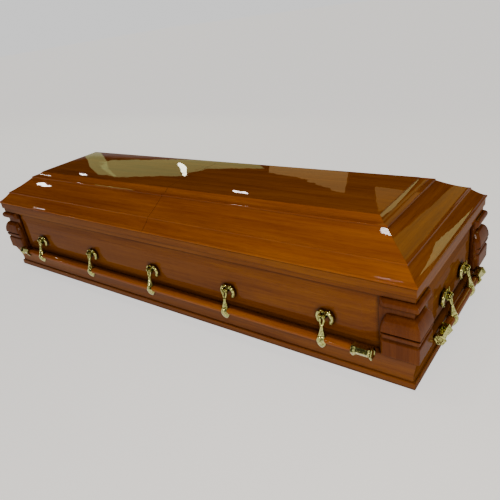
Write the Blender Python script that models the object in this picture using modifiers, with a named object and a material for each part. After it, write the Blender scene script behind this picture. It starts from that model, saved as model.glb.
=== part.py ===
"""Lacquered wooden coffin: moulded box, lid in two halves, brass swing-bar handles.

Metres, +Z up. The origin is on the ground under the middle of the box.
+X is the foot end, -X the head end, -Y the front. Insets are measured inwards
from the lip line, the outermost rectangle of the lid.
"""
import math
from collections import namedtuple

import bmesh
import bpy
from mathutils import Matrix, Vector

for old in list(bpy.data.objects):
    bpy.data.objects.remove(old, do_unlink=True)

# Driving dimensions of the whole
COFFIN_LENGTH = 2.120
COFFIN_WIDTH = 0.688
GAP = 0.0003
SEAM_GAP = 0.0016

# Boards of the box
BOARD_INSET = 0.024
BOARD_THICKNESS = 0.020
FLOOR_THICKNESS = 0.018
FLOOR_LEDGE_HEIGHT = 0.012
FLOOR_LEDGE_DEPTH = 0.016

# Base moulding
BASE_HEIGHT = 0.107
BASE_TOP_INSET = 0.002
BASE_FOOT_INSET = 0.008
BASE_FOOT_HEIGHT = 0.0255
BASE_FOOT_ROUND = 0.004
BASE_COVE_INSET = 0.0155
BASE_COVE_RISE = 0.0145
BASE_CROWN_FILLET = 0.007

# Corner posts, from the bottom up
POST_LEG = 0.116
POST_LAP = 0.020
POST_STILE_INSET = 0.013
POST_END_SETBACK = 0.005
POST_END_ROUND = 0.014
BAND_HEIGHT = 0.0607
BAND_OUTSET = 0.0095
BAND_EDGE_OUTSET = 0.004
BAND_EDGE_HEIGHT = 0.005
GROOVE_HEIGHT = 0.006
GROOVE_OUTSET = 0.003
CUSHION_FOOT_HEIGHT = 0.016
CUSHION_RISE = 0.057
CUSHION_OUTSET = 0.0125
CUSHION_FOOT_OUTSET = 0.008
NECK_HEIGHT = 0.0218
TORUS_HEIGHT = 0.031
TORUS_INSET = 0.009
TORUS_PROUD = 0.014

# Raised panels between the posts
PANEL_RECESS = 0.021
PANEL_TOP_GAP = 0.003
PANEL_END_GAP = 0.004
PANEL_EDGE_PROUD = 0.002
PANEL_FIELD_PROUD = 0.010
PANEL_TOP_BEVEL = 0.040
PANEL_SIDE_BEVEL = 0.050
PANEL_BOTTOM_BEVEL = 0.005

# Rim moulding under the lid
RIM_LOWER_HEIGHT = 0.0187
RIM_UPPER_HEIGHT = 0.0267
RIM_LOWER_INSET = 0.009
RIM_UPPER_INSET = 0.004
RIM_CHAMFER = 0.002

# Lid, heights above its seat on the rim
LIP_UNDERCUT = 0.004
LIP_NOSE_LOW = 0.004
LIP_NOSE_HIGH = 0.008
LIP_TOP_INSET = 0.003
LIP_TOP_HEIGHT = 0.0105
OGEE_INSET = 0.044
OGEE_HEIGHT = 0.043
FILLET_STEP = 0.006
FILLET_FLAT = 0.004
SLOPE_INSET = 0.137
SLOPE_HEIGHT = 0.100
SLOPE_SAG = 0.003
COVE_INSET = 0.1745
COVE_HEIGHT = 0.1165
CROWN_INSET = 0.178
CROWN_THICKNESS = 0.018
CROWN_TOP_HEIGHT = 0.1220
CROWN_EDGE_ROUND = 0.0025
CROWN_DOME_RISE = 0.0030
CROWN_DOME_RUN = 0.110
CROWN_LEDGE = 0.018
CROWN_LEDGE_THICKNESS = 0.012
LID_WALL = 0.021

# Swing-bar handles
LUGS_ALONG_SIDE = 5
LUGS_ALONG_END = 2
SIDE_LUG_MARGIN = 0.174
END_LUG_MARGIN = 0.1355
TIP_POST_GAP = 0.005
PIVOT_ABOVE_BASE = 0.085
PIVOT_OUTSET = 0.010
BAR_OUT = 0.010
BAR_DROP = 0.076
BAR_RADIUS = 0.012
BAR_FACETS = 16
BAR_HOLE_FACETS = 12
PIN_RADIUS = 0.0036
PIN_FACETS = 8
EYE_RADIUS = 0.0078
EYE_STEPS = 6
EYE_HALF_WIDTH = 0.0060
SHANK_HALF_WIDTH = 0.0046
SHANK_THIN = 0.0040
SHANK_FLARE = 0.0030
SHANK_BOW = 0.0030
SOCKET_RADIUS = 0.0170
SOCKET_HALF_WIDTH = 0.0130
SOCKET_DROP = 0.0070
SOCKET_STEPS = 9
SLOT_SIDE_CLEARANCE = 0.0004
SLOT_BACK_CLEARANCE = 0.0040
CHEEK_THICKNESS = 0.0042
CHEEK_NOSE_RADIUS = 0.0075
CHEEK_NOSE_STEPS = 5
LUG_FOOT_HEIGHT = 0.0165
HORN_CENTRE_X = 0.0140
HORN_CENTRE_Z = 0.0040
HORN_RADIUS_X = 0.0090
HORN_RADIUS_Z = 0.0150
HORN_ROD = 0.0044
HORN_STEPS = 6
TIP_SIDES = 6
TIP_LENGTH = 0.065
TIP_SOCKET_DEPTH = 0.018
TIP_WAIST_RADIUS = 0.0165
TIP_COLLAR_RADIUS = 0.0195
TIP_COLLAR_LENGTH = 0.006
TIP_FLARE_LENGTH = 0.008

# Heights and insets that follow from the sizes above
INNER_INSET = BOARD_INSET + BOARD_THICKNESS
POST_FOOT = BASE_HEIGHT + GAP
POST_HEIGHT = (
    BAND_HEIGHT + GROOVE_HEIGHT + CUSHION_FOOT_HEIGHT + CUSHION_RISE + NECK_HEIGHT + TORUS_HEIGHT
)
POST_TOP = POST_FOOT + POST_HEIGHT
RIM_FOOT = POST_TOP + GAP
RIM_TOP = RIM_FOOT + RIM_LOWER_HEIGHT + RIM_UPPER_HEIGHT
LID_SEAT = RIM_TOP + GAP
CROWN_FOOT = LID_SEAT + CROWN_TOP_HEIGHT - CROWN_THICKNESS
PIVOT_HEIGHT = BASE_HEIGHT + PIVOT_ABOVE_BASE
FIELD_INSET = BOARD_INSET - PANEL_FIELD_PROUD
LUG_REACH = PIVOT_OUTSET + FIELD_INSET - GAP

Look = namedtuple("Look", "colour roughness metallic")
LACQUERED_MAHOGANY = Look((0.150, 0.050, 0.016), 0.12, 0.0)
PLAIN_WOOD = Look((0.420, 0.270, 0.140), 0.60, 0.0)
POLISHED_BRASS = Look((0.720, 0.560, 0.230), 0.18, 1.0)

Side = namedtuple("Side", "name turn half_along half_across lugs lug_margin")
SIDES = (
    Side("front", 0.0, COFFIN_LENGTH / 2, COFFIN_WIDTH / 2, LUGS_ALONG_SIDE, SIDE_LUG_MARGIN),
    Side("foot", math.pi / 2, COFFIN_WIDTH / 2, COFFIN_LENGTH / 2, LUGS_ALONG_END, END_LUG_MARGIN),
    Side("back", math.pi, COFFIN_LENGTH / 2, COFFIN_WIDTH / 2, LUGS_ALONG_SIDE, SIDE_LUG_MARGIN),
    Side("head", -math.pi / 2, COFFIN_WIDTH / 2, COFFIN_LENGTH / 2, LUGS_ALONG_END, END_LUG_MARGIN),
)

coffin = bpy.data.collections.new("wooden_coffin")
bpy.context.scene.collection.children.link(coffin)


def add_node(name, mesh, look, parent=None):
    """Link a mesh as a named piece with a material of its own."""
    node = bpy.data.objects.new(name, mesh)
    coffin.objects.link(node)
    node.parent = parent
    material = bpy.data.materials.new(name + "_finish")
    material.use_nodes = True
    shader = material.node_tree.nodes["Principled BSDF"]
    shader.inputs["Base Color"].default_value = (*look.colour, 1.0)
    shader.inputs["Roughness"].default_value = look.roughness
    shader.inputs["Metallic"].default_value = look.metallic
    if not mesh.materials:
        mesh.materials.append(None)
    node.material_slots[0].link = "OBJECT"
    node.material_slots[0].material = material
    return node


def place_on_side(node, side, inset=0.0, height=0.0):
    """Turn a piece to its side of the box and set it on that side's lip line."""
    turn = Matrix.Rotation(side.turn, 3, "Z")
    node.rotation_euler.z = side.turn
    node.location = turn @ Vector((0.0, inset - side.half_across, height))


def mesh_from(name, build):
    """Make a mesh with bmesh, its faces pointing out."""
    work = bmesh.new()
    build(work)
    bmesh.ops.recalc_face_normals(work, faces=work.faces)
    mesh = bpy.data.meshes.new(name)
    work.to_mesh(mesh)
    work.free()
    return mesh


def loft_mesh(name, rings, closed=False):
    """Skin a row of rings of points, capped at both ends or closed on itself."""
    def build(work):
        rows = [[work.verts.new(point) for point in ring] for ring in rings]
        pairs = list(zip(rows, rows[1:]))
        if closed:
            pairs.append((rows[-1], rows[0]))
        else:
            work.faces.new(rows[0])
            work.faces.new(rows[-1])
        for near, far in pairs:
            for index in range(len(near)):
                follow = (index + 1) % len(near)
                work.faces.new((near[index], near[follow], far[follow], far[index]))
    return mesh_from(name, build)


def box_mesh(name, low, high):
    """A plain box between two corners."""
    def build(work):
        bmesh.ops.create_cube(work, size=1.0)
        size = Vector(high) - Vector(low)
        middle = (Vector(high) + Vector(low)) / 2
        bmesh.ops.scale(work, vec=size, verts=work.verts)
        bmesh.ops.translate(work, vec=middle, verts=work.verts)
    return mesh_from(name, build)


def rod_mesh(name, radius, half_length, segments):
    """A round rod along X."""
    def build(work):
        lay_down = Matrix.Rotation(math.pi / 2, 4, "Y")
        bmesh.ops.create_cone(
            work, cap_ends=True, segments=segments, radius1=radius, radius2=radius,
            depth=2 * half_length, matrix=lay_down)
    return mesh_from(name, build)


def bore_radius(radius, segments):
    """Corner radius of a faceted hole that clears a round rod of the given radius."""
    return (radius + GAP) / math.cos(math.pi / segments)


def circle(centre, radius, segments):
    """Corners of a regular polygon round a centre, in a side view."""
    turns = [2 * math.pi * step / segments for step in range(segments)]
    return [(centre[0] + radius * math.cos(t), centre[1] + radius * math.sin(t)) for t in turns]


def evaluated_mesh(node):
    """The final mesh of a curve or of a mesh with modifiers, welded; the object is removed."""
    graph = bpy.context.evaluated_depsgraph_get()
    mesh = bpy.data.meshes.new_from_object(node.evaluated_get(graph))
    work = bmesh.new()
    work.from_mesh(mesh)
    bmesh.ops.remove_doubles(work, verts=work.verts, dist=1e-6)
    bmesh.ops.recalc_face_normals(work, faces=work.faces)
    work.to_mesh(mesh)
    work.free()
    bpy.data.objects.remove(node, do_unlink=True)
    return mesh


def plate_mesh(name, outlines, half_thickness):
    """A flat casting: side-view outlines (depth, height), thick along X, inner outlines as holes."""
    curve = bpy.data.curves.new(name, "CURVE")
    curve.dimensions = "2D"
    curve.fill_mode = "BOTH"
    curve.extrude = half_thickness
    for outline in outlines:
        spline = curve.splines.new("POLY")
        spline.points.add(len(outline) - 1)
        spline.use_cyclic_u = True
        for point, place in zip(spline.points, outline):
            point.co = (place[0], place[1], 0.0, 1.0)
    node = bpy.data.objects.new(name, curve)
    coffin.objects.link(node)
    mesh = evaluated_mesh(node)
    upright = Matrix(((0, 0, 1, 0), (1, 0, 0, 0), (0, 1, 0, 0), (0, 0, 0, 1)))
    mesh.transform(upright)
    return mesh


def combined(base, others):
    """Join or cut a mesh with others by exact Booleans: others are (mesh, operation) pairs."""
    node = bpy.data.objects.new("blank", base)
    coffin.objects.link(node)
    tools = []
    for mesh, operation in others:
        tool = bpy.data.objects.new("tool", mesh)
        tool.hide_render = True
        tool.display_type = "WIRE"
        coffin.objects.link(tool)
        tools.append(tool)
        boolean = node.modifiers.new("combine", "BOOLEAN")
        boolean.operation = operation
        boolean.solver = "EXACT"
        boolean.object = tool
    mesh = evaluated_mesh(node)
    for tool in tools:
        bpy.data.objects.remove(tool, do_unlink=True)
    return mesh


# Floor and base moulding

def make_floor():
    half_x = COFFIN_LENGTH / 2 - INNER_INSET - GAP
    half_y = COFFIN_WIDTH / 2 - INNER_INSET - GAP
    foot = FLOOR_LEDGE_HEIGHT + GAP
    mesh = box_mesh("floor_board", (-half_x, -half_y, foot), (half_x, half_y, foot + FLOOR_THICKNESS))
    add_node("floor_board", mesh, PLAIN_WOOD)


def base_profile():
    """Section of the base moulding, (inset, height), with the ledge that carries the floor."""
    profile = [
        (BASE_FOOT_INSET + BASE_FOOT_ROUND, 0.0),
        (BASE_FOOT_INSET, BASE_FOOT_ROUND),
        (BASE_FOOT_INSET, BASE_FOOT_HEIGHT - BASE_FOOT_ROUND),
        (BASE_FOOT_INSET + BASE_FOOT_ROUND, BASE_FOOT_HEIGHT),
    ]
    cove_foot = BASE_FOOT_HEIGHT + BASE_COVE_RISE
    cove_height = BASE_HEIGHT - BASE_CROWN_FILLET - cove_foot
    for share in (0.0, 0.33, 0.6, 0.82, 1.0):
        inset = BASE_COVE_INSET - (BASE_COVE_INSET - BASE_TOP_INSET) * share ** 1.5
        profile.append((inset, cove_foot + cove_height * share))
    profile += [
        (BASE_TOP_INSET, BASE_HEIGHT),
        (INNER_INSET, BASE_HEIGHT),
        (INNER_INSET, FLOOR_LEDGE_HEIGHT),
        (INNER_INSET + FLOOR_LEDGE_DEPTH, FLOOR_LEDGE_HEIGHT),
        (INNER_INSET + FLOOR_LEDGE_DEPTH, 0.0),
    ]
    return profile


def make_base(side):
    """One length of the base moulding, mitred at both ends."""
    rings = []
    for end in (-1, 1):
        ring = []
        for inset, height in base_profile():
            ring.append((end * (side.half_along - inset - GAP), inset, height))
        rings.append(ring)
    name = "base_" + side.name
    place_on_side(add_node(name, loft_mesh(name, rings), LACQUERED_MAHOGANY), side)


# Corner posts

def post_profile():
    """Turned-looking section of a corner post from the bottom up, (inset, height)."""
    height = POST_FOOT
    profile = [(-BAND_EDGE_OUTSET, height)]
    profile.append((-BAND_OUTSET, height + BAND_EDGE_HEIGHT))
    height += BAND_HEIGHT
    profile.append((-BAND_OUTSET, height - BAND_EDGE_HEIGHT))
    profile.append((-BAND_EDGE_OUTSET, height))
    height += GROOVE_HEIGHT
    profile.append((-GROOVE_OUTSET, height - GROOVE_HEIGHT / 2))
    profile.append((-CUSHION_FOOT_OUTSET, height))
    height += CUSHION_FOOT_HEIGHT
    shoulder = CUSHION_OUTSET + POST_STILE_INSET
    for degrees in (0, 25, 47, 66, 80, 90):
        turn = math.radians(degrees)
        inset = POST_STILE_INSET - shoulder * math.cos(turn)
        profile.append((inset, height + CUSHION_RISE * math.sin(turn)))
    height += CUSHION_RISE + NECK_HEIGHT
    profile.append((POST_STILE_INSET, height - GAP))
    for degrees in (0, 45, 90, 135, 180):
        turn = math.radians(degrees)
        inset = TORUS_INSET - TORUS_PROUD * math.sin(turn)
        profile.append((inset, height + TORUS_HEIGHT * (1 - math.cos(turn)) / 2))
    return profile


def post_ring(inset, height):
    """Plan of an L-shaped post at one height: the corner at the origin, legs along +X and +Y."""
    face_end = POST_LEG - POST_END_SETBACK
    depth = POST_STILE_INSET - inset
    core = POST_LEG - POST_LAP
    leg = [
        (face_end - POST_END_ROUND, inset),
        (face_end - POST_END_ROUND * 0.3, inset + depth * 0.3),
        (face_end, POST_STILE_INSET),
        (POST_LEG, POST_STILE_INSET),
        (POST_LEG, BOARD_INSET - GAP),
        (core, BOARD_INSET - GAP),
        (core, INNER_INSET),
    ]
    along_x = [(x, y, height) for x, y in leg]
    along_y = [(y, x, height) for x, y in reversed(leg)]
    return [(inset, inset, height)] + along_x + [(INNER_INSET, INNER_INSET, height)] + along_y


def make_posts():
    mesh = loft_mesh("corner_post", [post_ring(inset, height) for inset, height in post_profile()])
    corners = (("head_front", -1, -1), ("foot_front", 1, -1), ("foot_back", 1, 1), ("head_back", -1, 1))
    for quarter, (corner, end, across) in enumerate(corners):
        post = add_node("post_" + corner, mesh, LACQUERED_MAHOGANY)
        post.location = (end * COFFIN_LENGTH / 2, across * COFFIN_WIDTH / 2, 0.0)
        post.rotation_euler.z = quarter * math.pi / 2


# Side boards with their raised panels

def make_side_board(side):
    """A board between two posts with a raised panel that bevels back at the top and the ends."""
    board_end = side.half_along - POST_LEG + POST_LAP - GAP
    panel_end = side.half_along - POST_LEG - PANEL_END_GAP
    panel_foot = BASE_HEIGHT + PANEL_RECESS
    panel_top = POST_TOP - PANEL_TOP_GAP
    edge_inset = BOARD_INSET - PANEL_EDGE_PROUD

    def rectangle(half, foot, top, inset):
        return [(-half, inset, foot), (half, inset, foot), (half, inset, top), (-half, inset, top)]

    rings = [
        rectangle(board_end, POST_FOOT, POST_TOP, INNER_INSET),
        rectangle(board_end, POST_FOOT, POST_TOP, BOARD_INSET),
        rectangle(panel_end, panel_foot, panel_top, BOARD_INSET),
        rectangle(panel_end, panel_foot, panel_top, edge_inset),
        rectangle(panel_end - PANEL_SIDE_BEVEL, panel_foot + PANEL_BOTTOM_BEVEL,
                  panel_top - PANEL_TOP_BEVEL, FIELD_INSET),
    ]
    name = "side_" + side.name
    place_on_side(add_node(name, loft_mesh(name, rings), LACQUERED_MAHOGANY), side)


# Rim moulding

def corner_ring(profile, end, across):
    """A section set on the mitre plane of one corner."""
    half_x = COFFIN_LENGTH / 2
    half_y = COFFIN_WIDTH / 2
    return [(end * (half_x - inset), across * (half_y - inset), z) for inset, z in profile]


def make_rim():
    step = RIM_FOOT + RIM_LOWER_HEIGHT
    profile = [
        (RIM_LOWER_INSET, RIM_FOOT),
        (RIM_LOWER_INSET, step),
        (RIM_UPPER_INSET + RIM_CHAMFER, step),
        (RIM_UPPER_INSET, step + RIM_CHAMFER),
        (RIM_UPPER_INSET, RIM_TOP),
        (INNER_INSET, RIM_TOP),
        (INNER_INSET, RIM_FOOT),
    ]
    corners = ((-1, -1), (1, -1), (1, 1), (-1, 1))
    rings = [corner_ring(profile, end, across) for end, across in corners]
    add_node("rim_frame", loft_mesh("rim_frame", rings, closed=True), LACQUERED_MAHOGANY)


# Lid halves

def lid_profile():
    """Section through the lid frame: outside from the lip up, then the inside back down."""
    seat = LID_SEAT
    profile = [
        (LIP_UNDERCUT, seat),
        (0.0, seat + LIP_NOSE_LOW),
        (0.0, seat + LIP_NOSE_HIGH),
    ]
    for share in (0.0, 0.25, 0.5, 0.75, 1.0):
        inset = LIP_TOP_INSET + (OGEE_INSET - LIP_TOP_INSET) * share
        rise = (OGEE_HEIGHT - LIP_TOP_HEIGHT) * share ** 1.3
        profile.append((inset, seat + LIP_TOP_HEIGHT + rise))
    slope_foot = (OGEE_INSET + FILLET_FLAT, seat + OGEE_HEIGHT + FILLET_STEP)
    profile.append((OGEE_INSET + FILLET_STEP / 6, slope_foot[1]))
    for share in (0.0, 0.33, 0.67, 1.0):
        inset = slope_foot[0] + (SLOPE_INSET - slope_foot[0]) * share
        rise = (seat + SLOPE_HEIGHT - slope_foot[1]) * share
        sag = SLOPE_SAG * math.sin(math.pi * share)
        profile.append((inset, slope_foot[1] + rise - sag))
    cove_foot = (SLOPE_INSET + FILLET_FLAT, seat + SLOPE_HEIGHT + FILLET_STEP)
    profile.append((SLOPE_INSET + FILLET_STEP / 6, cove_foot[1]))
    for share in (0.0, 0.4, 0.75, 1.0):
        inset = cove_foot[0] + (COVE_INSET - cove_foot[0]) * share
        profile.append((inset, cove_foot[1] + (seat + COVE_HEIGHT - cove_foot[1]) * share ** 1.6))
    rebate = CROWN_INSET - GAP
    ledge_top = CROWN_FOOT - GAP
    ledge_foot = ledge_top - CROWN_LEDGE_THICKNESS
    profile += [
        (rebate, seat + COVE_HEIGHT),
        (rebate, ledge_top),
        (rebate + CROWN_LEDGE, ledge_top),
        (rebate + CROWN_LEDGE, ledge_foot),
        (COVE_INSET, ledge_foot),
        (SLOPE_INSET, seat + SLOPE_HEIGHT - LID_WALL),
        (INNER_INSET, seat + OGEE_HEIGHT - LID_WALL),
        (INNER_INSET, seat),
    ]
    return profile


def make_lid_frames():
    """Three-sided moulded frame of each lid half; the head half is the foot half turned round."""
    profile = lid_profile()
    half_y = COFFIN_WIDTH / 2
    rings = [
        [(SEAM_GAP / 2, inset - half_y, z) for inset, z in profile],
        corner_ring(profile, 1, -1),
        corner_ring(profile, 1, 1),
        [(SEAM_GAP / 2, half_y - inset, z) for inset, z in profile],
    ]
    mesh = loft_mesh("lid_frame", rings)
    add_node("lid_foot_frame", mesh, LACQUERED_MAHOGANY)
    add_node("lid_head_frame", mesh, LACQUERED_MAHOGANY).rotation_euler.z = math.pi


def make_lid_crowns():
    """Crown board of each lid half, let into the frame and very slightly domed."""
    top = LID_SEAT + CROWN_TOP_HEIGHT
    steps = [
        (CROWN_INSET, CROWN_FOOT),
        (CROWN_INSET, top - CROWN_EDGE_ROUND),
        (CROWN_INSET + CROWN_EDGE_ROUND, top),
        (CROWN_INSET + CROWN_DOME_RUN / 2, top + CROWN_DOME_RISE * 0.75),
        (CROWN_INSET + CROWN_DOME_RUN, top + CROWN_DOME_RISE),
    ]
    rings = []
    for inset, height in steps:
        far = COFFIN_LENGTH / 2 - inset
        half_y = COFFIN_WIDTH / 2 - inset
        near = SEAM_GAP / 2
        rings.append([(near, -half_y, height), (far, -half_y, height),
                      (far, half_y, height), (near, half_y, height)])
    mesh = loft_mesh("lid_crown", rings)
    add_node("lid_foot_crown", mesh, LACQUERED_MAHOGANY)
    add_node("lid_head_crown", mesh, LACQUERED_MAHOGANY).rotation_euler.z = math.pi


# Brass swing-bar hardware, drawn round the hinge axis: X along it, -Y outwards

def arm_outline():
    """Side view of an arm, (depth, height): eye, waisted shank and drop-shaped socket."""
    outline = []
    for step in range(EYE_STEPS + 1):
        turn = math.radians(-40 + 260 * step / EYE_STEPS)
        outline.append((EYE_RADIUS * math.cos(turn), EYE_RADIUS * math.sin(turn)))
    shank = []
    for share in (0.30, 0.48, 0.66):
        middle = -BAR_OUT * share - SHANK_BOW * math.sin(math.pi * share)
        shank.append((middle, -BAR_DROP * share, SHANK_THIN + SHANK_FLARE * share))
    outline += [(middle - half, height) for middle, height, half in shank]
    for step in range(SOCKET_STEPS + 1):
        degrees = 130 + 280 * step / SOCKET_STEPS
        off_drop = (degrees - 240) / 38
        radius = SOCKET_RADIUS + SOCKET_DROP * math.exp(-off_drop * off_drop)
        turn = math.radians(degrees)
        outline.append((radius * math.cos(turn) - BAR_OUT, radius * math.sin(turn) - BAR_DROP))
    outline += [(middle + half, height) for middle, height, half in reversed(shank)]
    return outline


def arm_half_width(height):
    """Half the front-view width of an arm: eye, slim shank, broad socket."""
    share = min(max(-height / (BAR_DROP - SOCKET_RADIUS), 0.0), 1.0)
    if share < 0.4:
        return EYE_HALF_WIDTH + (SHANK_HALF_WIDTH - EYE_HALF_WIDTH) * share / 0.4
    return SHANK_HALF_WIDTH + (SOCKET_HALF_WIDTH - SHANK_HALF_WIDTH) * ((share - 0.4) / 0.6) ** 2


def arm_mesh():
    eye_hole = circle((0.0, 0.0), bore_radius(PIN_RADIUS, PIN_FACETS), PIN_FACETS)
    bar_hole = circle((-BAR_OUT, -BAR_DROP), bore_radius(BAR_RADIUS, BAR_HOLE_FACETS), BAR_HOLE_FACETS)
    mesh = plate_mesh("swing_arm", [arm_outline(), eye_hole, bar_hole], EYE_HALF_WIDTH)
    for vertex in mesh.vertices:
        vertex.co.x = math.copysign(arm_half_width(vertex.co.z), vertex.co.x)
    return mesh


def horn_mesh(hand):
    """One scroll of a lug: a tapering rod that curls over and back like a ram's horn."""
    curve = bpy.data.curves.new("horn", "CURVE")
    curve.dimensions = "3D"
    curve.bevel_depth = HORN_ROD
    curve.bevel_resolution = 1
    curve.use_fill_caps = True
    spline = curve.splines.new("POLY")
    spline.points.add(HORN_STEPS)
    for step, point in enumerate(spline.points):
        share = step / HORN_STEPS
        turn = math.radians(165 - 260 * share)
        shrink = 1.0 - 0.3 * share
        across = HORN_CENTRE_X + HORN_RADIUS_X * shrink * math.cos(turn)
        height = HORN_CENTRE_Z + HORN_RADIUS_Z * shrink * math.sin(turn)
        depth = LUG_REACH / 2 - HORN_ROD * math.sin(math.pi * share)
        point.co = (hand * across, depth, height, 1.0)
        point.radius = 1.0 - 0.45 * share
    node = bpy.data.objects.new("horn", curve)
    coffin.objects.link(node)
    return evaluated_mesh(node)


def lug_mesh():
    """A lug: two cheeks with the hinge pin between them, and a scroll at each hand."""
    outline = [(LUG_REACH, -LUG_FOOT_HEIGHT * 0.8), (LUG_REACH / 2, -LUG_FOOT_HEIGHT * 0.65)]
    for step in range(CHEEK_NOSE_STEPS + 1):
        turn = math.radians(260 - 160 * step / CHEEK_NOSE_STEPS)
        outline.append((CHEEK_NOSE_RADIUS * math.cos(turn), CHEEK_NOSE_RADIUS * math.sin(turn)))
    outline += [(LUG_REACH / 2, LUG_FOOT_HEIGHT * 0.85), (LUG_REACH, LUG_FOOT_HEIGHT)]
    slot = EYE_HALF_WIDTH + SLOT_SIDE_CLEARANCE
    block = plate_mesh("lug", [outline], slot + CHEEK_THICKNESS)
    slot_depth = EYE_RADIUS + SLOT_BACK_CLEARANCE
    tall = 2 * LUG_FOOT_HEIGHT
    slot_cut = box_mesh("slot", (-slot, -tall, -tall), (slot, slot_depth, tall))
    pin = rod_mesh("pin", PIN_RADIUS, slot + CHEEK_THICKNESS / 2, PIN_FACETS)
    return combined(block, [
        (slot_cut, "DIFFERENCE"), (pin, "UNION"), (horn_mesh(1), "UNION"), (horn_mesh(-1), "UNION")])


def tip_profile():
    """Half section of a bar tip, (radius, reach), down its outer side and back into the socket."""
    hole = bore_radius(BAR_RADIUS, TIP_SIDES)
    waist_end = TIP_LENGTH - TIP_FLARE_LENGTH - TIP_COLLAR_LENGTH
    return [
        (0.0, TIP_LENGTH),
        (TIP_COLLAR_RADIUS * 0.8, TIP_LENGTH),
        (TIP_COLLAR_RADIUS, TIP_LENGTH - TIP_COLLAR_LENGTH / 3),
        (TIP_COLLAR_RADIUS, TIP_LENGTH - TIP_COLLAR_LENGTH),
        (TIP_WAIST_RADIUS, waist_end),
        (TIP_WAIST_RADIUS, TIP_COLLAR_LENGTH * 2),
        (TIP_COLLAR_RADIUS, TIP_COLLAR_LENGTH),
        (TIP_COLLAR_RADIUS, 0.0),
        (hole, 0.0),
        (hole, TIP_SOCKET_DEPTH),
        (0.0, TIP_SOCKET_DEPTH),
    ]


def tip_mesh():
    """A six-sided bar tip, turned about +Z with its socket at the bottom."""
    def build(work):
        verts = [work.verts.new((radius, 0.0, reach)) for radius, reach in tip_profile()]
        for near, far in zip(verts, verts[1:]):
            work.edges.new((near, far))
    node = bpy.data.objects.new("tip", mesh_from("tip", build))
    coffin.objects.link(node)
    screw = node.modifiers.new("turn", "SCREW")
    screw.axis = "Z"
    screw.steps = TIP_SIDES
    screw.render_steps = TIP_SIDES
    screw.use_merge_vertices = True
    screw.merge_threshold = 1e-6
    return evaluated_mesh(node)


def lug_places(side):
    """Where the lugs stand along a side, evenly from the first to the last."""
    reach = side.half_along - POST_LEG - side.lug_margin
    return [reach * (2 * index / (side.lugs - 1) - 1) for index in range(side.lugs)]


def make_handle(side, lug, arm, tip):
    """Lugs fixed to a side board, and the arms, bar and tips that swing on them as one."""
    hinge = bpy.data.objects.new("hinge_" + side.name, None)
    coffin.objects.link(hinge)
    place_on_side(hinge, side, -PIVOT_OUTSET, PIVOT_HEIGHT)
    for number, along in enumerate(lug_places(side), start=1):
        fixed = add_node(f"lug_{side.name}_{number}", lug, POLISHED_BRASS, hinge)
        fixed.location.x = along
        swinging = add_node(f"arm_{side.name}_{number}", arm, POLISHED_BRASS, hinge)
        swinging.location.x = along
    tip_end = side.half_along - POST_LEG - TIP_POST_GAP
    tip_mouth = tip_end - TIP_LENGTH
    bar_half = tip_mouth + TIP_SOCKET_DEPTH - GAP
    name = "bar_" + side.name
    bar = add_node(name, rod_mesh(name, BAR_RADIUS, bar_half, BAR_FACETS), LACQUERED_MAHOGANY, hinge)
    bar.location = (0.0, -BAR_OUT, -BAR_DROP)
    for number, hand in ((1, -1), (2, 1)):
        end = add_node(f"tip_{side.name}_{number}", tip, POLISHED_BRASS, hinge)
        end.location = (hand * tip_mouth, -BAR_OUT, -BAR_DROP)
        end.rotation_euler.y = hand * math.pi / 2


def main():
    make_floor()
    make_posts()
    make_rim()
    make_lid_frames()
    make_lid_crowns()
    lug = lug_mesh()
    arm = arm_mesh()
    tip = tip_mesh()
    for side in SIDES:
        make_base(side)
        make_side_board(side)
        make_handle(side, lug, arm, tip)


main()
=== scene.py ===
"""Studio scene of a lacquered wooden coffin with brass swing-bar handles.

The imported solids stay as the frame. The floor board's solid is dressed as it is. Each other solid is
replaced by a finer piece in the same place, which rides on the same body. Lengths are metres, and
colours are sRGB hex.
"""

import logging
import math
from dataclasses import dataclass
from enum import Enum
from typing import Any, Sequence

import bmesh
import bpy
from mathutils import Euler, Matrix, Vector
from mathutils.geometry import interpolate_bezier


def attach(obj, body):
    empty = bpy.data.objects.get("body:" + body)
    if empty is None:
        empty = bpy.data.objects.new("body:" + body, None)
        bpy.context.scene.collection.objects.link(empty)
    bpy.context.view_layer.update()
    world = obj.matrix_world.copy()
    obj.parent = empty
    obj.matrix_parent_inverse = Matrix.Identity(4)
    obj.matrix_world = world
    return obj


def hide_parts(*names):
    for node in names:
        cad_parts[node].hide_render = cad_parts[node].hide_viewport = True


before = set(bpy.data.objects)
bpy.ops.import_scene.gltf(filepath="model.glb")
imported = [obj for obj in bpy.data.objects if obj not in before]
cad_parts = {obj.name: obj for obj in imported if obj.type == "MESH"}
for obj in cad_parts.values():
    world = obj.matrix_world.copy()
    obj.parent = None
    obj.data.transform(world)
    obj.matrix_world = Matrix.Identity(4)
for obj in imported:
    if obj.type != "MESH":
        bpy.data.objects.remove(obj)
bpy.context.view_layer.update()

LOG = logging.getLogger("coffin")
Ring = list[Vector]
Section = list[tuple[float, float]]
Colour = tuple[float, float, float, float]
Triple = tuple[float, float, float]


def linear(hex_colour: str) -> Colour:
    """Turn an sRGB hex colour to linear light.

    Args:
        hex_colour: six hex digits after a hash sign.

    Returns:
        Red, green, blue and an alpha of one.
    """
    parts = [int(hex_colour[index:index + 2], 16) / 255 for index in (1, 3, 5)]
    light = [part / 12.92 if part <= 0.04045 else ((part + 0.055) / 1.055) ** 2.4 for part in parts]
    return (light[0], light[1], light[2], 1.0)


class GrainAxis(Enum):
    """The way the grain of a length of wood runs."""

    LENGTH = 0
    WIDTH = 1
    HEIGHT = 2

    def stretched(self, along: float, across: float) -> Vector:
        """Scales of a pattern with these repeats per metre along the grain and across it."""
        return Vector([along if axis == self.value else across for axis in range(3)])


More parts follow.
